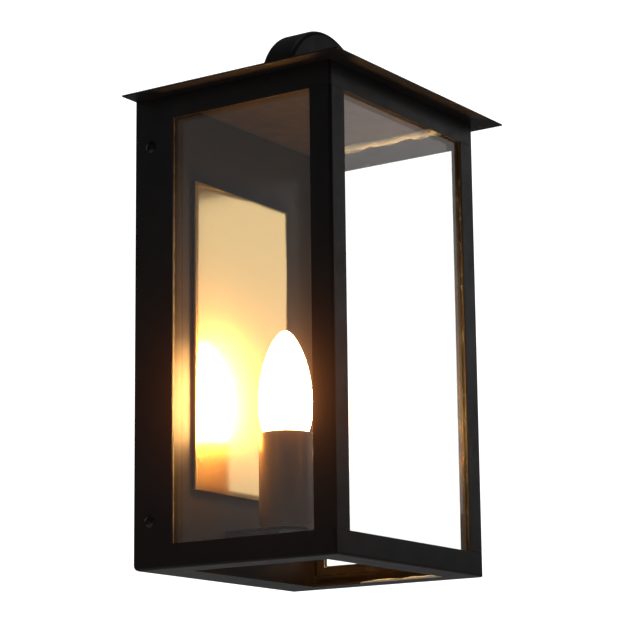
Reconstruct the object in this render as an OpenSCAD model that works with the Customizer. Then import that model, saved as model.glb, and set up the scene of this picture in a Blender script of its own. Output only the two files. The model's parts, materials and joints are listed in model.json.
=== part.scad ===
// Outdoor wall lantern: a folded sheet-steel cage with three clear panes, an open bottom,
// a flat overhanging roof with a half-drum cowl, and a gilt reflector behind one candle bulb.
// Frame: +Z up, the wall is the plane y = 0 and the front faces -Y. The origin is the centre
// of the four wall fixing slots. The modules below measure heights from the lower edge of the
// cage, and from_base() moves them into the frame.

/* [Cage] */
// Width of the cage
body_w = 170; // [150:1:200]
// Depth of the cage from the wall to the front
body_d = 150; // [140:1:180]
// Height of the cage up to the underside of the roof
body_h = 302; // [290:0.5:340]
// Thickness of the steel sheet
sheet_t = 1.5; // [1.2:0.1:1.7]
// Outer radius of the folded front corners
corner_r = 1.8; // [1.7:0.1:4]
// Width of each flange of the front corner posts
post_w = 15.5; // [13:0.5:18]
// Width of the flat strips that run down the rear edges
stile_w = 29.5; // [28:0.5:34]
// Height of the rail under the roof
top_rail_h = 15.6; // [14:0.1:20]
// Height of the bottom rail
bottom_rail_h = 15.4; // [13:0.1:18]
// Width of the bottom flange at the front and sides
flange_w = 18.2; // [15:0.1:20]
// Width of the bottom flange along the wall
rear_flange_w = 31.7; // [30:0.1:36]

/* [Roof] */
// Overhang of the roof plate at the front and sides
roof_overhang = 15; // [8:1:25]
// Thickness of the roof plate
roof_t = 1.2; // [1:0.1:3]
// Outer radius of the half-drum cowl
cowl_r = 46; // [35:1:60]
// Depth of the cowl from its front face to its rear face
cowl_depth = 23; // [14:0.5:30]
// Distance of the middle of the cowl from the wall
cowl_y = 80.5; // [60:0.5:100]

/* [Glazing] */
// Thickness of the panes
glass_t = 3; // [2:0.5:4]
// Thickness of the sealing bead between a pane and its flange
seal_t = 1; // [0.8:0.1:1.5]
// How far a pane laps behind its posts, its stile and its bottom rail
glass_lap = 6.5; // [5:0.5:7]
// Gap between the panes' top edges and the roof
glass_top_gap = 1.5; // [1:0.5:6]

/* [Back and reflector] */
// Distance from the wall to the front face of the back panel
recess = 20; // [20:0.5:24]
// Width of the reflector
reflector_w = 103; // [80:1:120]
// Height of the reflector
reflector_h = 201; // [180:1:210]
// How far the reflector tray stands out from the back panel
reflector_d = 2.4; // [2.2:0.1:6]
// Height of the reflector's lower edge above the lower edge of the cage
reflector_z = 53; // [48:1:60]

/* [Lamp] */
// Distance of the bulb's axis from the wall
lamp_y = 56; // [50:1:75]
// Height of the top of the lamp bracket's shelf
shelf_z = 30.5; // [30:0.5:32]
// Outer radius of the candle sleeve
sleeve_r = 17.5; // [16:0.25:18]
// Height of the sleeve's top rim
sleeve_top = 91.5; // [86:0.5:92]
// Greatest radius of the bulb
bulb_r = 18.5; // [17:0.5:20]
// Height of the bulb's greatest radius
bulb_wide_z = 113; // [110:1:116]
// Height of the bulb's tip
bulb_tip_z = 159; // [150:1:170]

/* [Wall bracket] */
// Height of the centre of the wall slots above the lower edge of the cage
mount_h = 150; // [140:1:160]
// Distance between the slots across the wall
slot_dx = 60; // [40:1:80]
// Distance between the slots up the wall
slot_dz = 120; // [100:1:140]
// Radius of the slots' ends
slot_r = 2.75; // [2.25:0.25:3.25]
// Length of the slots from end to end
slot_len = 14; // [10:1:20]
// Inner radius of the cable grommet
cable_r = 5; // [4:0.5:6]
// Heights of the side screws above the lower edge of the cage
screw_low_z = 30; // [26:1:40]
// Height of the upper side screws
screw_high_z = 270; // [240:1:276]

/* [Hidden] */
$fn = 64;

coat = [0.06, 0.05, 0.05];
gilt = [0.86, 0.66, 0.34];
pane_tint = [0.85, 0.92, 0.92, 0.35];
silicone = [0.82, 0.82, 0.80];
zinc = [0.70, 0.71, 0.73];
brass = [0.80, 0.65, 0.32];
ivory = [0.90, 0.88, 0.80];
dark_plastic = [0.10, 0.10, 0.10];
bulb_white = [1.0, 0.93, 0.78];

half_w = body_w / 2;
inner_x = half_w - sheet_t;
window_top_z = body_h - top_rail_h;
roof_top_z = body_h + roof_t;
panel_back = recess - sheet_t;
reflector_t = 0.8;
rear_corner_r = 4;

// Running gaps between the cage and the wall bracket
gap = 0.3;
bracket_t = 2;
bracket_x = inner_x - gap;
bracket_low_z = 12;
bracket_high_z = 289;
ear_t = 1.5;
ear_depth = 17;
ear_h = 24;
side_screw_y = 12;
side_screw_r = 2;

cable_z = 125;
cable_hole_r = cable_r + 2.5;
cable_lip_r = cable_hole_r + 2.5;
cable_lip_t = 2;

cowl_t = 1.5;
cowl_rim_r = 3;
cowl_axis_z = roof_top_z + 5;

bracket_w = 28;
tab_w = 30;
tab_low_z = shelf_z - 18.5;
lead_z = shelf_z - 10;
fixing_x = 10.5;

nipple_r = 5;
nipple_bore_r = 3.4;
nipple_low_z = shelf_z - 5.5;
nipple_high_z = shelf_z + 11.5;

holder_r = 12.5;
holder_top_z = 82.5;
holder_floor_z = 55;
holder_flange_h = 2.5;

thread_pitch = 2.82;
thread_mean_r = 6.55;
thread_depth = 0.4;
cap_t = 0.3;
cap_low_z = 64.4;
cap_turns = 6;
cap_rim_r = 7.9;
bulb_neck_z = 83;
bulb_glass_t = 0.7;
contact_z = 59.3;

block_low_z = 60;
block_h = 18;
block_d = 12;
pole_pitch = 10;
earth_z = 104;

// Moves heights measured from the lower edge of the cage into the frame
module from_base() translate([0, 0, -mount_h]) children();

// A cylinder along +Y that starts at y and is length long
module rod_y(x, y, z, r, length)
    translate([x, y, z]) rotate([-90, 0, 0]) cylinder(h = length, r = r);

// A cylinder along +X that starts at x and is length long
module rod_x(x, y, z, r, length)
    translate([x, y, z]) rotate([0, 90, 0]) cylinder(h = length, r = r);

// A box from its low corner to its high corner
module span(low, high) translate(low) cube(high - low);

// A hexagon nut with its hole, along +Z, for a screw of radius r
module hex_nut(across, h, r)
    difference() {
        cylinder(h = h, r = across / sqrt(3), $fn = 6);
        translate([0, 0, -1]) cylinder(h = h + 2, r = r);
    }

// ---- The cage seen from above ----

module plan_outline(r = corner_r, inset = 0) {
    w = body_w - 2 * inset;
    front = -body_d + inset;
    translate([-w / 2, front + r]) square([w, -front - r]);
    translate([-w / 2 + r, front]) square([w - 2 * r, r]);
    for (side = [-1, 1]) translate([side * (w / 2 - r), front + r]) circle(r);
}

// The folded sheet in plan, open towards the wall
module plan_walls()
    difference() {
        plan_outline();
        plan_outline(corner_r - sheet_t, sheet_t);
    }

// The bottom flange in plan, with the opening for changing the bulb
module plan_flange()
    difference() {
        plan_outline();
        translate([-half_w + flange_w, -body_d + flange_w])
            square([body_w - 2 * flange_w, body_d - flange_w - rear_flange_w]);
    }

// The share of the plan that belongs to one rail, cut by the mitres at its ends
module mitre(side) {
    opening_x = half_w - flange_w;
    opening_front = -body_d + flange_w;
    corner = [half_w, -body_d];
    if (side == "front")
        polygon([[-corner.x, corner.y], corner, [opening_x, opening_front], [-opening_x, opening_front]]);
    if (side == "right")
        polygon([corner, [half_w, 0], [opening_x, -rear_flange_w], [opening_x, opening_front]]);
    if (side == "left") mirror([1, 0, 0]) mitre("right");
    if (side == "rear")
        polygon([[half_w, 0], [-half_w, 0], [-opening_x, -rear_flange_w], [opening_x, -rear_flange_w]]);
}

// What a rounded edge of radius r loses along the edge at y = 0, z = 0, with the body at y < 0
module edge_cut(r, length)
    difference() {
        span([-length / 2, -r, -1], [length / 2, 1, r]);
        rod_x(-length / 2 - 1, -r, r, r, length + 2);
    }

// The cage's lower edges are folded, and its lower corners at the wall are rounded
module lower_edge_cuts() {
    long = 2 * body_w;
    edge_cut(rear_corner_r, long);
    translate([0, -body_d, 0]) mirror([0, 1, 0]) edge_cut(corner_r, long);
    for (side = [-1, 1])
        translate([side * half_w, 0, 0]) rotate([0, 0, -side * 90]) edge_cut(corner_r, long);
}

module bottom_rail(side)
    difference() {
        union() {
            if (side != "rear")
                linear_extrude(bottom_rail_h) intersection() {
                    plan_walls();
                    mitre(side);
                }
            linear_extrude(sheet_t) intersection() {
                plan_flange();
                mitre(side);
            }
        }
        lower_edge_cuts();
    }

module top_rail(side)
    translate([0, 0, window_top_z]) linear_extrude(body_h - window_top_z) intersection() {
        plan_walls();
        mitre(side);
    }

// An upright of the right-hand side, between the rails, from y = -far to y = -near
module upright(near, far)
    translate([0, 0, bottom_rail_h]) linear_extrude(window_top_z - bottom_rail_h) intersection() {
        plan_walls();
        translate([half_w - post_w, -far]) square([post_w, far - near]);
    }

module rear_stile_right()
    color(coat) from_base() difference() {
        upright(0, stile_w);
        for (z = [screw_low_z, screw_high_z])
            rod_x(inner_x - 1, -side_screw_y, z, side_screw_r + 0.25, sheet_t + 2);
    }

module rear_stile_left() mirror([1, 0, 0]) rear_stile_right();
module front_post_right() color(coat) from_base() upright(body_d - post_w, body_d);
module front_post_left() mirror([1, 0, 0]) front_post_right();

module top_rail_front() color(coat) from_base() top_rail("front");
module top_rail_left() color(coat) from_base() top_rail("left");
module top_rail_right() color(coat) from_base() top_rail("right");
module bottom_rail_front() color(coat) from_base() bottom_rail("front");
module bottom_rail_left() color(coat) from_base() bottom_rail("left");
module bottom_rail_right() color(coat) from_base() bottom_rail("right");
module bottom_rail_rear() color(coat) from_base() bottom_rail("rear");

// ---- Roof and cowl ----

module roof_plate()
    color(coat) from_base()
        span([-half_w - roof_overhang, -body_d - roof_overhang, body_h],
             [half_w + roof_overhang, 0, roof_top_z]);

// Stands a ring profile, drawn as [radius, distance from the front], on the cowl's axis
module cowl_turned()
    intersection() {
        translate([0, -cowl_y - cowl_depth / 2, cowl_axis_z]) rotate([-90, 0, 0])
            rotate_extrude($fn = 128) children();
        span([-cowl_r - 1, -body_d, roof_top_z], [cowl_r + 1, 0, roof_top_z + cowl_r + 5]);
    }

module cowl_band()
    color(coat) from_base() cowl_turned()
        translate([cowl_r - cowl_t, cowl_rim_r]) square([cowl_t, cowl_depth - 2 * cowl_rim_r]);

// The dished end plate in section, with its rounded rim
module cowl_end_profile()
    difference() {
        union() {
            square([cowl_r - cowl_rim_r, cowl_t]);
            translate([cowl_r - cowl_rim_r, cowl_rim_r]) intersection() {
                circle(cowl_rim_r);
                translate([0, -cowl_rim_r]) square(cowl_rim_r);
            }
        }
        translate([cowl_r - cowl_rim_r, cowl_rim_r]) circle(cowl_rim_r - cowl_t);
    }

module cowl_front() color(coat) from_base() cowl_turned() cowl_end_profile();
module cowl_rear()
    color(coat) from_base() cowl_turned() translate([0, cowl_depth]) mirror([0, 1]) cowl_end_profile();

// ---- Glazing ----

pane_low_z = bottom_rail_h - glass_lap;
pane_high_z = body_h - glass_top_gap;
side_window = [-body_d + post_w, -stile_w];
front_window_x = half_w - post_w;
bead = 1.2;

// A slab of the right-hand glazing between two distances from the sheet, lapping behind its window
module side_slab(from, to, lap, low_z, high_z)
    span([inner_x - to, side_window[0] - lap, low_z], [inner_x - from, side_window[1] + lap, high_z]);

module front_slab(from, to, lap, low_z, high_z)
    span([-front_window_x - lap, -body_d + sheet_t + from, low_z],
         [front_window_x + lap, -body_d + sheet_t + to, high_z]);

module glass_right()
    color(pane_tint) from_base() side_slab(seal_t, seal_t + glass_t, glass_lap, pane_low_z, pane_high_z);

module glass_left() mirror([1, 0, 0]) glass_right();

module glass_front()
    color(pane_tint) from_base() front_slab(seal_t, seal_t + glass_t, glass_lap, pane_low_z, pane_high_z);

module seal_right()
    color(silicone) from_base() difference() {
        side_slab(0, seal_t, glass_lap, pane_low_z, pane_high_z);
        side_slab(-1, seal_t + 1, -bead, bottom_rail_h + bead, window_top_z - bead);
    }

module seal_left() mirror([1, 0, 0]) seal_right();

module seal_front()
    color(silicone) from_base() difference() {
        front_slab(0, seal_t, glass_lap, pane_low_z, pane_high_z);
        front_slab(-1, seal_t + 1, -bead, bottom_rail_h + bead, window_top_z - bead);
    }

// ---- Back panel, reflector and their fixings ----

stud_x = 40;
stud_rows = [reflector_z + 12, reflector_z + reflector_h - 12];
stud_r = 1.5;
block_fixing_x = 5;
pole_r = 2.8;
wire_y = -panel_back + block_d / 2;
low_head_h = reflector_d - reflector_t - gap;
block_mid_z = block_low_z + block_h / 2;

module back_panel()
    color(coat) from_base() difference() {
        span([-inner_x, -recess, sheet_t], [inner_x, -panel_back, body_h]);
        for (x = [-stud_x, stud_x], z = stud_rows) rod_y(x, -recess - 1, z, stud_r + 0.15, 4);
        for (x = [-fixing_x, fixing_x]) rod_y(x, -recess - 1, lead_z, 2.15, 4);
        for (x = [-block_fixing_x, block_fixing_x]) rod_y(x, -recess - 1, block_mid_z, 1.6, 4);
        rod_y(0, -recess - 1, earth_z, 2.15, 4);
        rod_y(0, -recess - 1, lead_z, 4.5, 4);
    }

module reflector_panel()
    color(gilt) from_base() difference() {
        span([-reflector_w / 2, -recess - reflector_d, reflector_z],
             [reflector_w / 2, -recess, reflector_z + reflector_h]);
        span([-reflector_w / 2 + reflector_t, -recess - reflector_d + reflector_t, reflector_z + reflector_t],
             [reflector_w / 2 - reflector_t, 1, reflector_z + reflector_h - reflector_t]);
    }

module reflector_studs()
    color(zinc) from_base()
        for (x = [-stud_x, stud_x], z = stud_rows)
            rod_y(x, -recess - reflector_d + reflector_t, z, stud_r, 10);

module reflector_nuts()
    color(zinc) from_base()
        for (x = [-stud_x, stud_x], z = stud_rows)
            translate([x, -panel_back, z]) rotate([-90, 0, 0]) hex_nut(5.5, 2.4, stud_r);

// ---- Side screws ----

// A cross-headed pan screw along +Z: its head is below z = 0 and its shank above
module pan_screw(r, head_r, head_h, length)
    difference() {
        union() {
            cylinder(h = length, r = r);
            translate([0, 0, -head_h]) intersection() {
                cylinder(h = head_h, r = head_r);
                translate([0, 0, head_r * 1.25]) sphere(head_r * 1.25 + 0.001);
            }
        }
        for (turn = [0, 90]) rotate([0, 0, turn])
            translate([-head_r / 2, -head_r / 8, -head_h - 1]) cube([head_r, head_r / 4, 1 + head_h / 2]);
    }

module at_side_screws()
    for (side = [0, 1], z = [screw_low_z, screw_high_z])
        mirror([side, 0, 0]) translate([half_w, -side_screw_y, z]) rotate([0, -90, 0]) children();

module side_screws() color(coat) from_base() at_side_screws() pan_screw(side_screw_r, 3.8, 2.2, 9);

module side_nuts()
    color(zinc) from_base() at_side_screws()
        translate([0, 0, half_w - bracket_x + ear_t + gap]) difference() {
            translate([-3.5, -3.5, 0]) cube([7, 7, 3.2]);
            translate([0, 0, -1]) cylinder(h = 6, r = side_screw_r);
        }

// ---- Wall bracket ----

module wall_slot()
    rotate([90, 0, 0]) {
        for (end = [-1, 1]) translate([end * (slot_len / 2 - slot_r), 0, -1]) cylinder(h = 6, r = slot_r);
        translate([-slot_len / 2 + slot_r, -slot_r, -1]) cube([slot_len - 2 * slot_r, 2 * slot_r, 6]);
    }

// One ear of the right-hand side, with its slot open to the front
module ear(z)
    difference() {
        span([bracket_x - ear_t, -ear_depth, z - ear_h / 2], [bracket_x, -bracket_t, z + ear_h / 2]);
        rod_x(bracket_x - ear_t - 1, -side_screw_y, z, side_screw_r + 0.4, ear_t + 2);
        span([bracket_x - ear_t - 1, -ear_depth - 1, z - side_screw_r - 0.4],
             [bracket_x + 1, -side_screw_y, z + side_screw_r + 0.4]);
    }

module wall_bracket()
    color(zinc) from_base() difference() {
        union() {
            span([-bracket_x, -bracket_t, bracket_low_z], [bracket_x, 0, bracket_high_z]);
            for (side = [0, 1], z = [screw_low_z, screw_high_z]) mirror([side, 0, 0]) ear(z);
        }
        for (sx = [-1, 1], sz = [-1, 1])
            translate([sx * slot_dx / 2, 0, mount_h + sz * slot_dz / 2]) wall_slot();
        rod_y(0, -bracket_t - 1, cable_z, cable_hole_r, bracket_t + 2);
    }

// A rubber ring that grips the edge of a hole in a sheet, along -Y from the sheet's rear face
module ring_grommet(inner_r, hole_r, lip, t)
    rotate([90, 0, 0]) rotate_extrude()
        polygon([[inner_r, -lip], [hole_r + lip, -lip], [hole_r + lip, 0], [hole_r, 0],
                 [hole_r, t], [hole_r + lip, t], [hole_r + lip, t + lip], [inner_r, t + lip]]);

// Flush with the wall: this ring has a lip on the lantern's side only
module cable_grommet()
    color(dark_plastic) from_base() translate([0, 0, cable_z]) rotate([90, 0, 0]) rotate_extrude()
        polygon([[cable_r, 0], [cable_hole_r, 0], [cable_hole_r, bracket_t], [cable_lip_r, bracket_t],
                 [cable_lip_r, bracket_t + cable_lip_t], [cable_r, bracket_t + cable_lip_t]]);

// ---- Lamp bracket and lampholder ----

module lamp_bracket()
    color(coat) from_base() difference() {
        union() {
            span([-tab_w / 2, -recess - 2, tab_low_z], [tab_w / 2, -recess, shelf_z]);
            span([-bracket_w / 2, -lamp_y, shelf_z - 2], [bracket_w / 2, -recess, shelf_z]);
            translate([0, -lamp_y, shelf_z - 2]) cylinder(h = 2, r = bracket_w / 2);
        }
        translate([0, -lamp_y, shelf_z - 3]) cylinder(h = 4, r = nipple_r + 0.1);
        for (x = [-fixing_x, fixing_x]) rod_y(x, -recess - 3, lead_z, 2.15, 4);
        rod_y(0, -recess - 3, lead_z, 4.5, 4);
    }

module bracket_screws()
    color(zinc) from_base()
        for (x = [-fixing_x, fixing_x])
            translate([x, -recess - 2, lead_z]) rotate([-90, 0, 0]) pan_screw(2, 3.6, 2.2, 9);

module bracket_nuts()
    color(zinc) from_base()
        for (x = [-fixing_x, fixing_x])
            translate([x, -panel_back, lead_z]) rotate([-90, 0, 0]) hex_nut(7, 3.2, 2);

module at_lamp(z) translate([0, -lamp_y, z]) children();

module nipple()
    color(zinc) from_base() at_lamp(nipple_low_z) difference() {
        cylinder(h = nipple_high_z - nipple_low_z, r = nipple_r);
        translate([0, 0, -1]) cylinder(h = nipple_high_z, r = nipple_bore_r);
    }

module lock_nut() color(zinc) from_base() at_lamp(shelf_z - 5) hex_nut(14, 3, nipple_r);

module lampholder_body()
    color(dark_plastic) from_base() at_lamp(0) difference() {
        union() {
            translate([0, 0, shelf_z]) cylinder(h = holder_flange_h, r = sleeve_r - 0.2);
            translate([0, 0, shelf_z]) cylinder(h = holder_top_z - shelf_z, r = holder_r);
        }
        translate([0, 0, shelf_z - 1]) cylinder(h = nipple_high_z - shelf_z + 1, r = nipple_r);
        translate([0, 0, nipple_high_z - 1])
            cylinder(h = holder_floor_z - nipple_high_z + 2, r = nipple_bore_r);
        translate([0, 0, holder_floor_z]) cylinder(h = holder_top_z, r = shell_outer_r);
    }

// Radius of the lamp thread at a height above its lower end
function thread_r(h) = thread_mean_r - thread_depth * cos(360 * h / thread_pitch);

// Points up the thread from a starting turn, set out by grow, over a number of turns
function thread_side(low_z, start, turns, grow) =
    [for (i = [0:8 * turns]) let (h = (start + i / 8) * thread_pitch) [thread_r(h) + grow, low_z + h]];

function backwards(list) = [for (i = [len(list) - 1:-1:0]) list[i]];

shell_turns = 5;
shell_gap = 0.3;
shell_t = 0.5;
shell_outer_r = thread_mean_r + thread_depth + shell_gap + shell_t;

// Brass insert that takes the lamp cap, begun half a turn above the cap's lower end
module lampholder_shell()
    color(brass) from_base() at_lamp(0) rotate_extrude()
        polygon(concat(thread_side(cap_low_z, 0.5, shell_turns, shell_gap),
                       [[shell_outer_r, cap_low_z + (0.5 + shell_turns) * thread_pitch],
                        [shell_outer_r, cap_low_z + 0.5 * thread_pitch]]));

// Sprung centre contact on the floor of the holder
module lampholder_contact()
    color(brass) from_base() at_lamp(holder_floor_z) {
        translate([-5, -2.5, 0]) cube([10, 5, 0.8]);
        translate([-2.2, -2.2, 0.8]) cube([4.4, 4.4, contact_z - holder_floor_z - 0.8 - gap]);
    }

module candle_sleeve()
    color(dark_plastic) from_base() at_lamp(shelf_z + holder_flange_h) difference() {
        cylinder(h = sleeve_top - shelf_z - holder_flange_h, r = sleeve_r);
        translate([0, 0, -1]) cylinder(h = sleeve_top, r = sleeve_r - 1);
    }

// ---- Wiring ----

module panel_grommet()
    color(dark_plastic) from_base() translate([0, -panel_back, lead_z])
        ring_grommet(3.2, 4.5, 1.5, sheet_t + 2);

// Stands a piece on the axis of each pole of the terminal block
module at_poles(z) for (pole = [-1, 0, 1]) translate([pole * pole_pitch, wire_y, z]) children();

// The block's screws, two to a pole, along +Y from a distance behind the poles
module at_pole_screws(from) for (z = [-5, 5]) at_poles(block_mid_z + z) translate([0, from, 0]) children();

module terminal_block()
    color(ivory) from_base() difference() {
        span([-1.6 * pole_pitch, -panel_back, block_low_z],
             [1.6 * pole_pitch, -panel_back + block_d, block_low_z + block_h]);
        at_poles(block_low_z - 1) cylinder(h = block_h + 2, r = pole_r);
        at_pole_screws(0) rod_y(0, 0, 0, 1.8, block_d);
        for (x = [-block_fixing_x, block_fixing_x]) rod_y(x, -panel_back - 1, block_mid_z, 1.5, block_d + 2);
    }

module terminal_tubes()
    color(brass) from_base() difference() {
        at_poles(block_low_z + 1.5) cylinder(h = block_h - 3, r = pole_r);
        at_poles(block_low_z) cylinder(h = block_h, r = 2);
        at_pole_screws(0) rod_y(0, 0, 0, stud_r, block_d);
    }

module terminal_screws()
    color(zinc) from_base() difference() {
        at_pole_screws(1.4) rod_y(0, 0, 0, stud_r, 4);
        at_pole_screws(4.6) span([-2, 0, -0.3], [2, 2, 0.3]);
    }

module terminal_fixings()
    color(zinc) from_base()
        for (x = [-block_fixing_x, block_fixing_x])
            translate([x, -recess, block_mid_z]) rotate([-90, 0, 0]) pan_screw(stud_r, 2.7, low_head_h, 11);

module earth_screw()
    color(brass) from_base() translate([0, -recess, earth_z]) rotate([-90, 0, 0])
        pan_screw(2, 3.6, low_head_h, 10);

module earth_nut()
    color(brass) from_base() translate([0, -panel_back + lug_t, earth_z]) rotate([-90, 0, 0])
        hex_nut(7, 3.2, 2);

// A round lead swept along a smooth curve through its route's points
lead_r = 1.1;
lead_sides = 8;
lug_t = 0.8;
lug_y = -panel_back + lug_t + 1;
barrel_low_z = earth_z - 9.5;
steps_per_span = 6;

function curve_point(p0, p1, p2, p3, t) =
    0.5 * (2 * p1 + (p2 - p0) * t + (2 * p0 - 5 * p1 + 4 * p2 - p3) * t * t
           + (3 * p1 - p0 - 3 * p2 + p3) * t * t * t);

function smooth(route) = let (last = len(route) - 1) concat(
    [for (i = [0:last - 1], s = [0:steps_per_span - 1])
        curve_point(route[max(i - 1, 0)], route[i], route[i + 1], route[min(i + 2, last)],
                    s / steps_per_span)],
    [route[last]]);

function unit(v) = v / norm(v);

// Every route runs in planes nearly square to X, so X gives each ring its first direction
module lead(route) {
    path = smooth(route);
    last = len(path) - 1;
    points = [for (i = [0:last])
        let (along = unit(path[min(i + 1, last)] - path[max(i - 1, 0)]),
             across = unit(cross(along, [1, 0, 0])),
             third = cross(across, along))
        for (k = [0:lead_sides - 1])
            let (a = 360 * k / lead_sides) path[i] + lead_r * (cos(a) * across + sin(a) * third)];
    walls = [for (i = [0:last - 1], k = [0:lead_sides - 1])
        let (a = i * lead_sides + k, b = i * lead_sides + (k + 1) % lead_sides)
        [a, a + lead_sides, b + lead_sides, b]];
    ends = [[for (k = [0:lead_sides - 1]) k],
            [for (k = [lead_sides - 1:-1:0]) last * lead_sides + k]];
    from_base() polyhedron(points, concat(walls, ends));
}

// From a pole of the terminal block, through the panel and up the nipple to the holder
pair_x = 1.6;

function holder_route(side) = [
    [side * 10, wire_y, 63], [side * 10, wire_y, 57], [side * 8, wire_y, 47], [side * 3, wire_y, 35],
    [side * pair_x, wire_y - 1, lead_z + 6], [side * pair_x, wire_y - 5, lead_z + 0.5],
    [side * pair_x, -28, lead_z], [side * pair_x, -45, lead_z], [side * pair_x, 3 - lamp_y, lead_z + 1.2],
    [side * pair_x, -lamp_y, lead_z + 6], [side * pair_x, -lamp_y, lead_z + 14],
    [side * pair_x, -lamp_y, 50]];

module lead_live() color("saddlebrown") lead(holder_route(-1));
module lead_neutral() color("royalblue") lead(holder_route(1));
module lead_earth()
    color("yellowgreen")
        lead([[0, wire_y, 75], [0, wire_y, 80], [0, (wire_y + lug_y) / 2, 86], [0, lug_y, barrel_low_z - 2],
              [0, lug_y, barrel_low_z], [0, lug_y, barrel_low_z + 3]]);

// Ring terminal under the earth nut, with the barrel that holds the lead
module earth_lug()
    color(zinc) from_base() {
        translate([0, -panel_back, earth_z]) rotate([-90, 0, 0]) difference() {
            union() {
                cylinder(h = lug_t, r = 4.2);
                translate([-1.8, 0, 0]) cube([3.6, earth_z - barrel_low_z - 2, lug_t]);
            }
            translate([0, 0, -1]) cylinder(h = 3, r = 2.1);
        }
        translate([0, lug_y, barrel_low_z]) difference() {
            cylinder(h = 5, r = 1.8);
            translate([0, 0, -1]) cylinder(h = 7, r = lead_r + 0.05);
        }
    }

// ---- Bulb ----

// Radius of the glass at a height: a rounded lower half and a candle-shaped upper half
function bulb_side_r(z, r) =
    z < bulb_wide_z ? r * sqrt(1 - pow((bulb_wide_z - z) / 33.5, 2))
                    : r * pow(max(cos(90 * (z - bulb_wide_z) / (bulb_tip_z - bulb_wide_z)), 0), 0.65);

bulb_rings = 30;

// Evenly turned angles bring the points close together at the tip
function bulb_z(i, top_z) = bulb_neck_z + (top_z - bulb_neck_z) * sin(90 * i / bulb_rings);

function bulb_outline(t) = [for (i = [0:bulb_rings])
    let (z = bulb_z(i, bulb_tip_z))
    i == bulb_rings ? [0, z - t] : [max(bulb_side_r(z, bulb_r) - t, 0.05), min(z, bulb_tip_z - t - 0.1)]];

module bulb_glass()
    color(bulb_white) from_base() at_lamp(0) rotate_extrude() difference() {
        polygon(concat([[0, bulb_neck_z]], bulb_outline(0)));
        polygon(concat([[0, bulb_neck_z - 1], [bulb_outline(bulb_glass_t)[0].x, bulb_neck_z - 1]],
                       bulb_outline(bulb_glass_t)));
    }

// The cap: a threaded shell that turns in to the insulator, and flares at the glass
module bulb_cap()
    color(zinc) from_base() at_lamp(0) rotate_extrude() {
        polygon(concat(thread_side(cap_low_z, 0, cap_turns, 0),
                       [[cap_rim_r, bulb_neck_z], [cap_rim_r - cap_t, bulb_neck_z]],
                       backwards(thread_side(cap_low_z, 0, cap_turns, -cap_t))));
    }

module bulb_insulator()
    color(dark_plastic) from_base() at_lamp(contact_z + 1.2) difference() {
        cylinder(h = cap_low_z - contact_z - 1.2, r1 = 3.6, r2 = thread_r(0) - cap_t);
        translate([0, 0, -1]) cylinder(h = 10, r = 1);
    }

module bulb_contact()
    color(zinc) from_base() at_lamp(contact_z) cylinder(h = 1.2, r1 = 1.8, r2 = 2.4);

filament_x = 5;
filament_low = 30;
filament_h = 26;
filament_r = 0.8;
wire_r = 0.3;

// Glass mount fused to the bulb's neck, with the two wires that carry the filaments
module bulb_stem()
    color(pane_tint) from_base() at_lamp(bulb_neck_z) {
        cylinder(h = 1.5, r = bulb_side_r(bulb_neck_z, bulb_r) - bulb_glass_t);
        cylinder(h = 19, r1 = 3, r2 = 1.8);
        for (side = [-1, 1]) translate([side * filament_x, 0, 1]) cylinder(h = filament_low - 1, r = wire_r);
    }

// Two light strips in series, joined by a wire across their tops
module bulb_filament()
    color("orange") from_base() at_lamp(bulb_neck_z + filament_low) {
        for (side = [-1, 1]) translate([side * filament_x, 0, 0]) cylinder(h = filament_h, r = filament_r);
        rod_x(-filament_x, 0, filament_h - wire_r, wire_r, 2 * filament_x);
    }

wall_bracket();
cable_grommet();
rear_stile_left();
rear_stile_right();
front_post_left();
front_post_right();
top_rail_front();
top_rail_left();
top_rail_right();
bottom_rail_front();
bottom_rail_left();
bottom_rail_right();
bottom_rail_rear();
roof_plate();
cowl_band();
cowl_front();
cowl_rear();
back_panel();
glass_front();
glass_left();
glass_right();
seal_front();
seal_left();
seal_right();
side_screws();
side_nuts();
reflector_panel();
reflector_studs();
reflector_nuts();
lamp_bracket();
bracket_screws();
bracket_nuts();
lampholder_body();
lampholder_shell();
lampholder_contact();
candle_sleeve();
nipple();
lock_nut();
panel_grommet();
terminal_block();
terminal_tubes();
terminal_screws();
terminal_fixings();
earth_screw();
earth_nut();
earth_lug();
lead_live();
lead_neutral();
lead_earth();
bulb_glass();
bulb_cap();
bulb_insulator();
bulb_contact();
bulb_stem();
bulb_filament();
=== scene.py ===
"""Looks of the outdoor wall lantern: camera, studio, procedural materials and the pieces that
need mesh work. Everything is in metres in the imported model's frame: +Z up, the wall at y = 0 and
the front facing -Y."""

import json
import math

import bmesh
import bpy
from mathutils import Matrix, Vector, noise


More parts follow.
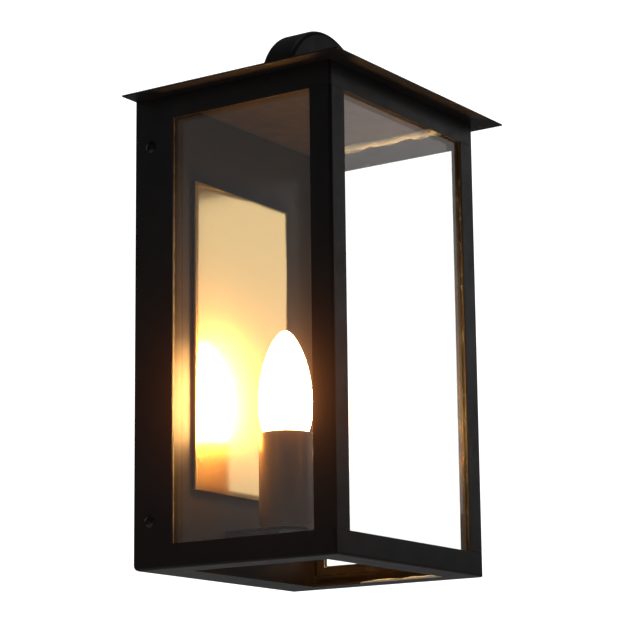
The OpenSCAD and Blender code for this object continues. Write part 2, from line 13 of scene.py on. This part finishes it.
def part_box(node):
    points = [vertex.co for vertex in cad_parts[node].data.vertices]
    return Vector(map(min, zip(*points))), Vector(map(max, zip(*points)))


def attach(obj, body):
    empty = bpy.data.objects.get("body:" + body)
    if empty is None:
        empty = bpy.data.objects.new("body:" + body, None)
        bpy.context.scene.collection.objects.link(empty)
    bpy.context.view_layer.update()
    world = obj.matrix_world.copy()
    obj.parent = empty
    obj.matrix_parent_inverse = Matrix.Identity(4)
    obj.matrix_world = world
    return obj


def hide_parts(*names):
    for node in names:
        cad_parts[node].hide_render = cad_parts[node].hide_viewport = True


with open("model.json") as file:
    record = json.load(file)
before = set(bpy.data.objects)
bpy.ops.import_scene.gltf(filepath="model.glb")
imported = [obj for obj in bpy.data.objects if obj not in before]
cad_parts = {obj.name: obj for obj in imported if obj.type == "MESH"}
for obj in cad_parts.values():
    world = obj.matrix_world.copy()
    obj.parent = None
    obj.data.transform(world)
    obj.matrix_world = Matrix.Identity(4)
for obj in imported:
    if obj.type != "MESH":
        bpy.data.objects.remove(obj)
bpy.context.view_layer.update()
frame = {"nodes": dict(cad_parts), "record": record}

MM = 0.001
SCENE = bpy.context.scene


# ---- Camera, floor and lights ----

# The camera solved from the cage's straight edges: its place, its aim in degrees and its lens
CAMERA_PLACE = Vector((-1.222684, -0.907047, -0.304423))
CAMERA_YAW = 55.849
CAMERA_PITCH = 12.322
CAMERA_ROLL = 0.629
LENS = 135.495
SENSOR = 36


def make_camera():
    """Stands low in front of the lantern's left-hand side and looks up at it."""
    yaw, pitch, roll = (math.radians(a) for a in (CAMERA_YAW, CAMERA_PITCH, CAMERA_ROLL))
    forward = Vector((math.sin(yaw) * math.cos(pitch), math.cos(yaw) * math.cos(pitch), math.sin(pitch)))
    level = forward.cross(Vector((0, 0, 1))).normalized()
    below = forward.cross(level)
    right = math.cos(roll) * level + math.sin(roll) * below
    up = math.sin(roll) * level - math.cos(roll) * below
    data = bpy.data.cameras.new("camera")
    data.lens = LENS
    data.sensor_width = SENSOR
    camera = bpy.data.objects.new("camera", data)
    camera.matrix_world = Matrix((
        (right.x, up.x, -forward.x, CAMERA_PLACE.x),
        (right.y, up.y, -forward.y, CAMERA_PLACE.y),
        (right.z, up.z, -forward.z, CAMERA_PLACE.z),
        (0, 0, 0, 1)))
    SCENE.collection.objects.link(camera)
    SCENE.camera = camera


ROOM_LIGHT = 0.07
PAPER_LIGHT = 1.3


def make_world():
    """White to the eye, with a dim grey room for the lantern to reflect."""
    world = bpy.data.worlds.new("studio")
    SCENE.world = world
    world.use_nodes = True
    tree = world.node_tree
    room = tree.nodes["Background"]
    room.inputs["Color"].default_value = (0.90, 0.93, 0.96, 1)
    room.inputs["Strength"].default_value = ROOM_LIGHT
    paper = tree.nodes.new("ShaderNodeBackground")
    paper.inputs["Color"].default_value = (1, 1, 1, 1)
    paper.inputs["Strength"].default_value = PAPER_LIGHT
    path = tree.nodes.new("ShaderNodeLightPath")
    mix = tree.nodes.new("ShaderNodeMixShader")
    tree.links.new(path.outputs["Is Camera Ray"], mix.inputs["Fac"])
    tree.links.new(room.outputs[0], mix.inputs[1])
    tree.links.new(paper.outputs[0], mix.inputs[2])
    tree.links.new(mix.outputs[0], tree.nodes["World Output"].inputs["Surface"])


def make_softbox(name, place, target, width, height, radiance):
    """An area light that the camera doesn't see, aimed at target, as bright as a sheet of that radiance."""
    data = bpy.data.lights.new(name, "AREA")
    data.shape = "RECTANGLE"
    data.size = width
    data.size_y = height
    data.energy = 4 * radiance * width * height
    light = bpy.data.objects.new(name, data)
    light.location = place
    light.rotation_euler = (Vector(target) - Vector(place)).to_track_quat("-Z", "Y").to_euler()
    light.visible_camera = False
    SCENE.collection.objects.link(light)


FLOOR_HALF = 0.95
FLOOR_Z = -0.46


def make_floor():
    """A pale square below the lantern, a little lit from inside so that it doesn't look grey."""
    mesh = bpy.data.meshes.new("floor")
    corners = [(x * FLOOR_HALF, y * FLOOR_HALF, FLOOR_Z) for x, y in ((-1, -1), (1, -1), (1, 1), (-1, 1))]
    mesh.from_pydata(corners, [], [(0, 1, 2, 3)])
    floor = bpy.data.objects.new("floor", mesh)
    SCENE.collection.objects.link(floor)
    paint = principled("floor_paint", {"Base Color": (0.80, 0.80, 0.79, 1), "Roughness": 0.6,
                                       "Emission Color": (1, 1, 1, 1), "Emission Strength": 0.22})[0]
    mesh.materials.append(paint)


# ---- Small helpers for node trees ----

def blank(name):
    """A material with nothing in its node tree but the output."""
    made = bpy.data.materials.new(name)
    made.use_nodes = True
    tree = made.node_tree
    tree.nodes.clear()
    out = tree.nodes.new("ShaderNodeOutputMaterial")
    return made, tree, out


def set_inputs(node, values):
    for key, value in values.items():
        node.inputs[key].default_value = value
    return node


def principled(name, values):
    """A material with one Principled shader, and its inputs set to values."""
    made, tree, out = blank(name)
    bsdf = set_inputs(tree.nodes.new("ShaderNodeBsdfPrincipled"), values)
    tree.links.new(bsdf.outputs[0], out.inputs["Surface"])
    return made, tree, bsdf


def noise_of(tree, scale, detail=2.0, stretch=(1, 1, 1)):
    """Noise in the lantern's own metres, so one unit of scale is one cell to the metre."""
    place = tree.nodes.new("ShaderNodeTexCoord")
    mapping = tree.nodes.new("ShaderNodeMapping")
    mapping.inputs["Scale"].default_value = stretch
    texture = tree.nodes.new("ShaderNodeTexNoise")
    texture.inputs["Scale"].default_value = scale
    texture.inputs["Detail"].default_value = detail
    tree.links.new(place.outputs["Object"], mapping.inputs["Vector"])
    tree.links.new(mapping.outputs["Vector"], texture.inputs["Vector"])
    return texture.outputs["Fac"]


def spread(tree, value, low, high, start=0.3, end=0.7):
    """Carries a value from the range start..end to low..high, and holds it there."""
    node = tree.nodes.new("ShaderNodeMapRange")
    for key, number in (("From Min", start), ("From Max", end), ("To Min", low), ("To Max", high)):
        node.inputs[key].default_value = number
    tree.links.new(value, node.inputs["Value"])
    return node.outputs["Result"]


def colours(tree, value, *stops):
    """A colour ramp through (position, colour) stops."""
    ramp = tree.nodes.new("ShaderNodeValToRGB")
    elements = ramp.color_ramp.elements
    while len(elements) < len(stops):
        elements.new(0.5)
    for element, (position, colour) in zip(elements, stops):
        element.position = position
        element.color = (*colour, 1)
    tree.links.new(value, ramp.inputs["Fac"])
    return ramp.outputs["Color"]


def bump(tree, bsdf, height, distance, strength=1.0):
    """Gives a shader the relief of a height value, distance metres deep."""
    node = tree.nodes.new("ShaderNodeBump")
    node.inputs["Distance"].default_value = distance
    node.inputs["Strength"].default_value = strength
    tree.links.new(height, node.inputs["Height"])
    tree.links.new(node.outputs["Normal"], bsdf.inputs["Normal"])


# ---- Materials, one function for each of the record's slots ----

def powder_coat():
    """Black powder coat: orange peel over fine grain, with the sheen uneven by a few per cent."""
    made, tree, bsdf = principled("powder_coat", {"Specular IOR Level": 0.13})
    cloud = noise_of(tree, 18, 4)
    tree.links.new(colours(tree, cloud, (0.3, (0.020, 0.017, 0.016)), (0.7, (0.026, 0.022, 0.021))),
                   bsdf.inputs["Base Color"])
    tree.links.new(spread(tree, noise_of(tree, 90, 3), 0.32, 0.42), bsdf.inputs["Roughness"])
    bump(tree, bsdf, noise_of(tree, 1400, 2), 0.08 * MM, 0.6)
    return made


MIRROR_ROUGHNESS = (0.165, 0.175)
HAZE_ROUGHNESS = (0.538, 0.542)
HAZE_SHARE = 0.26


def gilt_reflector():
    """Gold-anodised sheet: a clear mirror image inside a wide haze, with faint upright rolling lines."""
    made, tree, out = blank("gilt_reflector")
    gold = (0.97, 0.70, 0.34, 1)
    lines = noise_of(tree, 500, 2, (1, 1, 0.02))
    shaders = []
    for low, high in (MIRROR_ROUGHNESS, HAZE_ROUGHNESS):
        bsdf = set_inputs(tree.nodes.new("ShaderNodeBsdfPrincipled"), {"Base Color": gold, "Metallic": 1.0})
        tree.links.new(spread(tree, lines, low, high), bsdf.inputs["Roughness"])
        shaders.append(bsdf)
    mix = tree.nodes.new("ShaderNodeMixShader")
    mix.inputs["Fac"].default_value = HAZE_SHARE
    tree.links.new(shaders[0].outputs[0], mix.inputs[1])
    tree.links.new(shaders[1].outputs[0], mix.inputs[2])
    tree.links.new(mix.outputs[0], out.inputs["Surface"])
    return made


GLASS_IOR = 1.45


def clear_glass(axis="X"):
    """Thin clear glass whose sheet lies square to axis. Its edges are dark green, with pale diffuse patches
    painted on as glints.
    """
    made, tree, out = blank("clear_glass_" + axis.lower())
    through = set_inputs(tree.nodes.new("ShaderNodeBsdfTransparent"), {"Color": (0.99, 0.995, 0.992, 1)})
    gloss = set_inputs(tree.nodes.new("ShaderNodeBsdfGlossy"), {"Roughness": 0.0})
    entering = set_inputs(tree.nodes.new("ShaderNodeFresnel"), {"IOR": GLASS_IOR})
    leaving = set_inputs(tree.nodes.new("ShaderNodeFresnel"), {"IOR": 1 / GLASS_IOR})
    geometry = tree.nodes.new("ShaderNodeNewGeometry")
    fresnel = tree.nodes.new("ShaderNodeMix")
    tree.links.new(geometry.outputs["Backfacing"], fresnel.inputs["Factor"])
    tree.links.new(entering.outputs[0], fresnel.inputs["A"])
    tree.links.new(leaving.outputs[0], fresnel.inputs["B"])
    face = tree.nodes.new("ShaderNodeMixShader")
    tree.links.new(fresnel.outputs["Result"], face.inputs["Fac"])
    tree.links.new(through.outputs[0], face.inputs[1])
    tree.links.new(gloss.outputs[0], face.inputs[2])
    dark = set_inputs(tree.nodes.new("ShaderNodeBsdfTransparent"), {"Color": (0.22, 0.28, 0.25, 1)})
    # Pale diffuse patches on the edges are painted glints, not chips in the glass.
    painted_glints = set_inputs(tree.nodes.new("ShaderNodeBsdfDiffuse"), {"Color": (0.55, 0.66, 0.60, 1)})
    edge = tree.nodes.new("ShaderNodeMixShader")
    tree.links.new(spread(tree, noise_of(tree, 110, 3), 0.01, 0.22, 0.55, 0.72), edge.inputs["Fac"])
    tree.links.new(dark.outputs[0], edge.inputs[1])
    tree.links.new(painted_glints.outputs[0], edge.inputs[2])
    split = tree.nodes.new("ShaderNodeSeparateXYZ")
    facing = tree.nodes.new("ShaderNodeMath")
    facing.operation = "ABSOLUTE"
    choice = tree.nodes.new("ShaderNodeMixShader")
    tree.links.new(geometry.outputs["True Normal"], split.inputs[0])
    tree.links.new(split.outputs[axis], facing.inputs[0])
    tree.links.new(facing.outputs[0], choice.inputs["Fac"])
    tree.links.new(edge.outputs[0], choice.inputs[1])
    tree.links.new(face.outputs[0], choice.inputs[2])
    tree.links.new(choice.outputs[0], out.inputs["Surface"])
    return made


THICK_FILLET = 0.85
# How milky the bead is made along the rear stiles, as a painted glint of the lamp.
STILE_GLINT_MILK = 0.5


def silicone_bead():
    """Silicone that is clear where it is thin and milky where it is thick, with a wet shine. It is thick in
    patches, in the fillets under the ceiling and in the smear on the lower lip. Along the rear stiles it is
    made milky too, as a painted glint of the lamp on the bead."""
    made, tree, out = blank("silicone_bead")
    milk = (0.66, 0.77, 0.83, 1)
    glow = set_inputs(tree.nodes.new("ShaderNodeBsdfTranslucent"), {"Color": milk})
    skin = set_inputs(tree.nodes.new("ShaderNodeBsdfPrincipled"), {"Base Color": milk})
    tree.links.new(spread(tree, noise_of(tree, 300), 0.12, 0.35), skin.inputs["Roughness"])
    bump(tree, skin, noise_of(tree, 500, 2), 0.3 * MM)
    mix = tree.nodes.new("ShaderNodeMixShader")
    mix.inputs["Fac"].default_value = 0.6
    tree.links.new(glow.outputs[0], mix.inputs[1])
    tree.links.new(skin.outputs[0], mix.inputs[2])
    clear = set_inputs(tree.nodes.new("ShaderNodeBsdfTransparent"), {"Color": (0.93, 0.93, 0.91, 1)})
    place = tree.nodes.new("ShaderNodeTexCoord")
    split = tree.nodes.new("ShaderNodeSeparateXYZ")
    tree.links.new(place.outputs["Object"], split.inputs[0])
    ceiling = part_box("roof_plate")[0].z
    fillet = spread(tree, split.outputs["Z"], 0, THICK_FILLET, ceiling - 6 * MM, ceiling - 5 * MM)
    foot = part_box("bottom_rail_right")[0].z
    smear = spread(tree, split.outputs["Z"], THICK_FILLET, 0, foot + 3 * MM, foot + 4 * MM)
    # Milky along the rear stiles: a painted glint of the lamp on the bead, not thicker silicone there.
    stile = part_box("rear_stile_right")[0].y
    stile_glint = spread(tree, split.outputs["Y"], 0, STILE_GLINT_MILK, stile - 1.7 * MM, stile - 1.2 * MM)
    thick = spread(tree, noise_of(tree, 170, 3), 0.02, 0.4, 0.54, 0.72)
    for other in (fillet, smear, stile_glint):
        larger = tree.nodes.new("ShaderNodeMath")
        larger.operation = "MAXIMUM"
        tree.links.new(thick, larger.inputs[0])
        tree.links.new(other, larger.inputs[1])
        thick = larger.outputs[0]
    mass = tree.nodes.new("ShaderNodeMixShader")
    tree.links.new(thick, mass.inputs["Fac"])
    tree.links.new(clear.outputs[0], mass.inputs[1])
    tree.links.new(mix.outputs[0], mass.inputs[2])
    tree.links.new(mass.outputs[0], out.inputs["Surface"])
    return made


METAL_DULLING = 0.82
PLASTIC_DULLING = 0.88


def metal(name, colour, low, high, scale=220):
    """Plain metal whose roughness wanders between low and high."""
    made, tree, bsdf = principled(name, {"Metallic": 1.0})
    cloud = noise_of(tree, scale, 3)
    tree.links.new(spread(tree, cloud, low, high), bsdf.inputs["Roughness"])
    dull = tuple(METAL_DULLING * c for c in colour)
    tree.links.new(colours(tree, cloud, (0.3, dull), (0.7, colour)), bsdf.inputs["Base Color"])
    bump(tree, bsdf, noise_of(tree, 2500, 2), 0.03 * MM, 0.5)
    return made


def plastic(name, colour, low, high):
    """Moulded plastic with a fine spark-eroded grain."""
    made, tree, bsdf = principled(name, {"Specular IOR Level": 0.5})
    cloud = noise_of(tree, 60, 4)
    dull = tuple(PLASTIC_DULLING * c for c in colour)
    tree.links.new(colours(tree, cloud, (0.3, dull), (0.7, colour)), bsdf.inputs["Base Color"])
    tree.links.new(spread(tree, noise_of(tree, 400), low, high), bsdf.inputs["Roughness"])
    bump(tree, bsdf, noise_of(tree, 3000, 1), 0.03 * MM, 0.5)
    return made


def striped_insulation():
    """Green insulation with a yellow stripe that winds round the wire."""
    made, tree, bsdf = principled("green_yellow_insulation", {"Roughness": 0.4})
    wave = tree.nodes.new("ShaderNodeTexWave")
    wave.inputs["Scale"].default_value = 120
    place = tree.nodes.new("ShaderNodeTexCoord")
    tree.links.new(place.outputs["Object"], wave.inputs["Vector"])
    stripes = colours(tree, wave.outputs["Fac"], (0.45, (0.03, 0.20, 0.04)), (0.55, (0.65, 0.55, 0.04)))
    tree.links.new(stripes, bsdf.inputs["Base Color"])
    return made


LAMP_COLOUR = (1.0, 0.50, 0.15)
LAMP_STRENGTH = 140.0
FILAMENT_STRENGTH = 8.0


def lamp_glass():
    """Frosted glass lit from inside: brightest round the light strips, softer at the neck and tip."""
    made, tree, bsdf = principled("lamp_glass", {"Base Color": (0.90, 0.86, 0.80, 1), "Roughness": 0.35,
                                                 "Emission Color": (*LAMP_COLOUR, 1)})
    place = tree.nodes.new("ShaderNodeTexCoord")
    split = tree.nodes.new("ShaderNodeSeparateXYZ")
    tree.links.new(place.outputs["Object"], split.inputs[0])
    low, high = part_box("bulb_glass")
    curve = tree.nodes.new("ShaderNodeFloatCurve")
    points = curve.mapping.curves[0].points
    points[0].location = (0.0, 0.35)
    points[1].location = (1.0, 0.55)
    points.new(0.45, 1.0)
    curve.mapping.update()
    tree.links.new(spread(tree, split.outputs["Z"], 0, 1, low.z, high.z), curve.inputs["Value"])
    tree.links.new(spread(tree, curve.outputs[0], 0, LAMP_STRENGTH, 0, 1), bsdf.inputs["Emission Strength"])
    return made


def filament():
    """The grainy yellow phosphor of the light strips."""
    made, tree, bsdf = principled("filament", {"Base Color": (0.9, 0.7, 0.25, 1), "Roughness": 0.6,
                                               "Emission Color": (*LAMP_COLOUR, 1),
                                               "Emission Strength": FILAMENT_STRENGTH})
    bump(tree, bsdf, noise_of(tree, 900), 0.1 * MM)
    return made


MATERIALS = {
    "powder_coat": powder_coat,
    "gilt_reflector": gilt_reflector,
    "clear_glass": clear_glass,
    "silicone_bead": silicone_bead,
    "black_screw": lambda: metal("black_screw", (0.045, 0.042, 0.042), 0.24, 0.36),
    "zinc_steel": lambda: metal("zinc_steel", (0.62, 0.63, 0.65), 0.26, 0.46, 60),
    "brass": lambda: metal("brass", (0.80, 0.60, 0.28), 0.2, 0.36),
    "ivory_plastic": lambda: plastic("ivory_plastic", (0.74, 0.70, 0.58), 0.35, 0.5),
    "sleeve_plastic": lambda: plastic("sleeve_plastic", (0.085, 0.07, 0.06), 0.32, 0.45),
    "black_rubber": lambda: plastic("black_rubber", (0.025, 0.025, 0.025), 0.55, 0.75),
    "brown_insulation": lambda: plastic("brown_insulation", (0.13, 0.05, 0.022), 0.3, 0.45),
    "blue_insulation": lambda: plastic("blue_insulation", (0.02, 0.08, 0.38), 0.3, 0.45),
    "green_yellow_insulation": striped_insulation,
    "lamp_glass": lamp_glass,
    "lamp_cap_metal": lambda: metal("lamp_cap_metal", (0.78, 0.78, 0.79), 0.2, 0.36),
    "lamp_insulator": lambda: plastic("lamp_insulator", (0.02, 0.02, 0.025), 0.08, 0.2),
    "solder": lambda: metal("solder", (0.70, 0.70, 0.70), 0.35, 0.5, 900),
    "stem_glass": lambda: clear_glass("Z"),
    "filament": filament,
}
finishes = {slot: make() for slot, make in MATERIALS.items()}
front_glass = clear_glass("Y")
slot_of = {part["node"]: part["material_slot"] for part in frame["record"]["subparts"]}


def finish_cad_nodes():
    """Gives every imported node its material."""
    for name, node in frame["nodes"].items():
        made = front_glass if name == "glass_front" else finishes[slot_of[name]]
        node.data.materials.clear()
        node.data.materials.append(made)


SHEET_ARRIS = 0.35 * MM
SHEET_WELD = 0.001 * MM
SHEET_WORDS = ("rail", "post", "plate")


def soften_arrises():
    """Rounds the arrises of the folded sheet by the thickness of its coat."""
    for name, node in frame["nodes"].items():
        if not any(word in name for word in SHEET_WORDS):
            continue
        weld = node.modifiers.new("weld", "WELD")
        weld.merge_threshold = SHEET_WELD
        bevel = node.modifiers.new("bevel", "BEVEL")
        bevel.width = SHEET_ARRIS
        bevel.segments = 2
        bevel.limit_method = "ANGLE"
        bevel.angle_limit = math.radians(35)
        bevel.harden_normals = True


# ---- Pieces made here ----

def piece(name, mesh, slot, body, *nodes):
    """Puts a smooth-shaded mesh on its body, in place of CAD nodes."""
    thing = bpy.data.objects.new(name, mesh)
    SCENE.collection.objects.link(thing)
    mesh.shade_smooth()
    mesh.materials.append(finishes[slot])
    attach(thing, body)
    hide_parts(*nodes)
    return thing


def lathe(name, profile, centre, turns=96):
    """Turns a closed loop of (radius, z) points about a vertical axis; points on the axis are poles."""
    bm = bmesh.new()
    rings = []
    for radius, z in profile:
        if radius < 1e-7:
            rings.append([bm.verts.new((centre.x, centre.y, z))] * turns)
        else:
            rings.append([bm.verts.new((centre.x + radius * math.cos(2 * math.pi * k / turns),
                                        centre.y + radius * math.sin(2 * math.pi * k / turns), z))
                          for k in range(turns)])
    for a, b in zip(rings, rings[1:] + rings[:1]):
        for k in range(turns):
            corners = []
            for v in (a[k], a[(k + 1) % turns], b[(k + 1) % turns], b[k]):
                if v not in corners:
                    corners.append(v)
            if len(corners) > 2:
                bm.faces.new(corners)
    bmesh.ops.recalc_face_normals(bm, faces=bm.faces)
    mesh = bpy.data.meshes.new(name)
    bm.to_mesh(mesh)
    bm.free()
    return mesh


def axis_of(node):
    """The place of a round node's upright axis."""
    low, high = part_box(node)
    return Vector(((low.x + high.x) / 2, (low.y + high.y) / 2, 0))


def arc(radius_at, z_at, r, start, end, steps=8):
    """Points on a quarter circle or so, as (radius, z), for a rounded corner."""
    return [(radius_at + r * math.cos(math.radians(start + (end - start) * i / steps)),
             z_at + r * math.sin(math.radians(start + (end - start) * i / steps))) for i in range(steps + 1)]


# The lamp's outline: how much slimmer its glass is than the CAD's, how high above its lower end it is
# widest, how far below that it would close, and how full its lower part and its tip are
BULB_SLIM = 0.925
BULB_WIDE_HEIGHT = 30 * MM
BULB_LOWER_REACH = 36.8 * MM
BULB_LOWER_FULLNESS = 3.2
BULB_TIP_POWER = 0.56


def make_bulb():
    """The candle lamp's glass: a full lower half under a drawn-out, blunt tip, as slim as the photo's."""
    low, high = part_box("bulb_glass")
    widest = (high.x - low.x) / 2 * BULB_SLIM
    wide_z = low.z + BULB_WIDE_HEIGHT
    profile = [(0, low.z)]
    rings = 26
    for i in range(rings):
        z = low.z + (wide_z - low.z) * math.sin(math.pi / 2 * i / rings)
        profile.append((widest * (1 - ((wide_z - z) / BULB_LOWER_REACH) ** BULB_LOWER_FULLNESS), z))
    for i in range(rings + 1):
        share = math.sin(math.pi / 2 * i / rings)
        radius = widest * max(math.cos(math.pi / 2 * share), 0) ** BULB_TIP_POWER
        profile.append((radius if i < rings else 0, wide_z + (high.z - wide_z) * share))
    mesh = lathe("lamp_bulb", profile, axis_of("bulb_glass"))
    piece("lamp_bulb", mesh, "lamp_glass", "bulb", "bulb_glass")


SLEEVE_WALL = 1.0 * MM
SLEEVE_RIM = 0.45 * MM


def make_sleeve():
    """The candle sleeve: a plain tube with rolled rims."""
    low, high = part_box("candle_sleeve")
    outer = (high.x - low.x) / 2
    mid = outer - SLEEVE_WALL / 2
    loop = (arc(mid, high.z - SLEEVE_RIM, SLEEVE_WALL / 2, 0, 180)
            + arc(mid, low.z + SLEEVE_RIM, SLEEVE_WALL / 2, 180, 360))
    mesh = lathe("sleeve", loop, axis_of("candle_sleeve"))
    piece("sleeve", mesh, "sleeve_plastic", "lantern", "candle_sleeve")


REFLECTOR_SHEET = 0.8 * MM
REFLECTOR_BEND = 0.4 * MM
REFLECTOR_WAVE = 0.03 * MM
BEND_ANGLE = math.radians(60)


def make_reflector():
    """The folded tray: bent corners, and a face that is flat to a few hundredths of a millimetre."""
    low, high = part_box("reflector_panel")
    bm = bmesh.new()
    columns, rows = 26, 50
    grid = [[bm.verts.new((low.x + (high.x - low.x) * i / columns, low.y,
                           low.z + (high.z - low.z) * j / rows))
             for i in range(columns + 1)] for j in range(rows + 1)]
    for j in range(rows):
        for i in range(columns):
            bm.faces.new((grid[j][i], grid[j][i + 1], grid[j + 1][i + 1], grid[j + 1][i]))
    rim = [e for e in bm.edges if e.is_boundary]
    made = bmesh.ops.extrude_edge_only(bm, edges=rim)["geom"]
    for v in (g for g in made if isinstance(g, bmesh.types.BMVert)):
        v.co.y = high.y
    bmesh.ops.recalc_face_normals(bm, faces=bm.faces)
    bends = [e for e in bm.edges if len(e.link_faces) == 2 and e.calc_face_angle() > BEND_ANGLE]
    bmesh.ops.bevel(bm, geom=bends, offset=REFLECTOR_BEND, segments=3, profile=0.5, affect="EDGES")
    for v in bm.verts:
        if abs(v.co.y - low.y) < 0.01 * MM:
            v.co.y += REFLECTOR_WAVE * noise.noise(v.co * 22)
    mesh = bpy.data.meshes.new("reflector")
    bm.to_mesh(mesh)
    bm.free()
    tray = piece("reflector", mesh, "gilt_reflector", "lantern", "reflector_panel")
    solid = tray.modifiers.new("thickness", "SOLIDIFY")
    solid.thickness = REFLECTOR_SHEET
    solid.offset = -1


def rectangle_path(low, high, step):
    """Points round a rectangle in a plane, each with its outward direction."""
    corners = [(low[0], low[1]), (high[0], low[1]), (high[0], high[1]), (low[0], high[1])]
    outward = [(0, -1), (1, 0), (0, 1), (-1, 0)]
    path = []
    for k in range(4):
        (ax, ay), (bx, by) = corners[k], corners[(k + 1) % 4]
        before, here = outward[k - 1], outward[k]
        path.append(((ax, ay), (before[0] + here[0], before[1] + here[1])))
        count = max(2, round(math.hypot(bx - ax, by - ay) / step))
        path += [((ax + (bx - ax) * i / count, ay + (by - ay) * i / count), here) for i in range(1, count)]
    return path


def sweep(bm, rings, closed):
    """Joins rings of points into a tube: a closed loop, or one with two capped ends."""
    made = [[bm.verts.new(p) for p in ring] for ring in rings]
    pairs = list(zip(made, made[1:]))
    if closed:
        pairs.append((made[-1], made[0]))
    sides = len(made[0])
    for a, b in pairs:
        for k in range(sides):
            bm.faces.new((a[k], a[(k + 1) % sides], b[(k + 1) % sides], b[k]))
    if not closed:
        bm.faces.new(made[0][::-1])
        bm.faces.new(made[-1])


# The bead squeezed out all round a window: its section, and how far it lies behind the window's edge
BEAD_SIDES = 8
BEAD_STEP = 2.5 * MM
BEAD_INSET = 0.65 * MM
BEAD_REACH = 0.42 * MM
BEAD_SQUEEZE = 0.30 * MM
BEAD_DEPTH = 0.48 * MM

# The thicker runs, which thin out over their first and last twelfth: the fillets under the ceiling, and
# the smear that a finger left on the right-hand lower lip
RUN_STEPS = 60
RUN_TAPER = 12
FILLET = 2.6 * MM
FILLET_MARGIN = 4 * MM
FILLET_GAP = 0.1 * MM
SMEAR = 0.8 * MM
SMEAR_START = 2 * MM
SMEAR_END = 64 * MM
SMEAR_LIFT = 0.2 * MM
SMEAR_TUCK = 0.3 * MM


def bead_mesh(name, window, gap_middle, into, runs, place):
    """Silicone squeezed out unevenly round a window, with its thicker runs.
    place carries (along, up, depth) to the frame, and into is the depth direction that faces inwards.
    A run is (start, end, height, depth, radius, growth), and growth is 1 where it builds upwards."""
    bm = bmesh.new()
    rings = []
    for (a, b), (oa, ob) in rectangle_path(*window, BEAD_STEP):
        spot = Vector(place(a, b, gap_middle))
        squeeze = noise.noise(spot * 180) + 0.5 * noise.noise(spot * 700)
        reach = BEAD_REACH + BEAD_SQUEEZE * squeeze
        ring = []
        for k in range(BEAD_SIDES):
            turn = 2 * math.pi * k / BEAD_SIDES
            shift = reach * math.cos(turn) + BEAD_INSET
            ring.append(place(a + oa * shift, b + ob * shift, gap_middle + BEAD_DEPTH * math.sin(turn)))
        rings.append(ring)
    sweep(bm, rings, True)
    for start, end, height, depth, radius, growth in runs:
        rings = []
        for i in range(RUN_STEPS + 1):
            a = start + (end - start) * i / RUN_STEPS
            spot = Vector(place(a, height, depth))
            size = radius * (1 + 0.45 * noise.noise(spot * 90) + 0.15 * noise.noise(spot * 400))
            taper = min(1, RUN_TAPER * min(i, RUN_STEPS - i) / RUN_STEPS + 0.1)
            size *= 0.35 + 0.65 * math.sin(math.pi * taper / 2)
            rings.append([place(a, height + growth * (size + size * math.cos(2 * math.pi * k / BEAD_SIDES)),
                                depth + into * (size + size * math.sin(2 * math.pi * k / BEAD_SIDES)))
                          for k in range(BEAD_SIDES)])
        sweep(bm, rings, False)
    bmesh.ops.recalc_face_normals(bm, faces=bm.faces)
    mesh = bpy.data.meshes.new(name)
    bm.to_mesh(mesh)
    bm.free()
    return mesh


def make_beads():
    """The three panes' silicone, set out from the posts, stiles, rails and panes."""
    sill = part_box("front_post_right")[0].z
    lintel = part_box("top_rail_front")[0].z
    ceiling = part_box("roof_plate")[0].z
    front_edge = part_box("front_post_right")[1].y
    stile_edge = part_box("rear_stile_right")[0].y
    for side, node in ((-1, "left"), (1, "right")):
        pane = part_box("glass_" + node)
        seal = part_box("seal_" + node)
        window = ((front_edge, sill), (stile_edge, lintel))
        inner_face = pane[0].x if side > 0 else pane[1].x
        runs = [(pane[0].y + FILLET_MARGIN, pane[1].y - FILLET_MARGIN, ceiling - FILLET_GAP,
                 inner_face, FILLET, -1)]
        if side > 0:
            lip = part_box("bottom_rail_right")[0]
            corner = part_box("bottom_rail_front")[1].y
            runs.append((corner + SMEAR_START, corner + SMEAR_END, lip.z + SMEAR_LIFT, lip.x + SMEAR_TUCK,
                         SMEAR, 1))
        mesh = bead_mesh("bead_" + node, window, (seal[0].x + seal[1].x) / 2, -side, runs,
                         lambda a, b, depth: (depth, a, b))
        piece("silicone_" + node, mesh, "silicone_bead", "lantern", "seal_" + node)
    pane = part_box("glass_front")
    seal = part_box("seal_front")
    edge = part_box("front_post_right")[0].x
    runs = [(pane[0].x + FILLET_MARGIN, pane[1].x - FILLET_MARGIN, ceiling - FILLET_GAP, pane[1].y,
             FILLET, -1)]
    mesh = bead_mesh("bead_front", ((-edge, sill), (edge, lintel)), (seal[0].y + seal[1].y) / 2, 1, runs,
                     lambda a, b, depth: (a, depth, b))
    piece("silicone_front", mesh, "silicone_bead", "lantern", "seal_front")


GLARE = {"Threshold": 3.0, "Strength": 0.008, "Size": 0.35, "Tint": (1, 0.6, 0.5, 1)}


def make_glare():
    """The slight veil that a lens shows round a lamp that is far brighter than the rest."""
    SCENE.use_nodes = True
    tree = SCENE.node_tree
    tree.nodes.clear()
    layers = tree.nodes.new("CompositorNodeRLayers")
    glare = tree.nodes.new("CompositorNodeGlare")
    glare.glare_type = "BLOOM"
    glare.quality = "HIGH"
    set_inputs(glare, GLARE)
    out = tree.nodes.new("CompositorNodeComposite")
    tree.links.new(layers.outputs["Image"], glare.inputs["Image"])
    tree.links.new(glare.outputs["Image"], out.inputs["Image"])


make_camera()
make_world()
make_floor()
make_softbox("softbox_right", (1.25, -0.88, 0.37), (0, -0.02, 0), 0.6, 0.6, radiance=0.82)
make_softbox("softbox_left", (-1.25, 0.88, 0.40), (0, -0.02, 0), 0.6, 0.8, radiance=0.22)
make_softbox("softbox_top", (0.1, -0.2, 1.4), (0, -0.08, 0), 0.9, 0.9, radiance=0.35)
make_softbox("softbox_back", (0.2, 1.5, 0.6), (0, 0, 0), 0.9, 0.9, radiance=0.7)

finish_cad_nodes()
soften_arrises()
make_bulb()
make_sleeve()
make_reflector()
make_beads()
make_glare()

SCENE.view_settings.view_transform = "Standard"
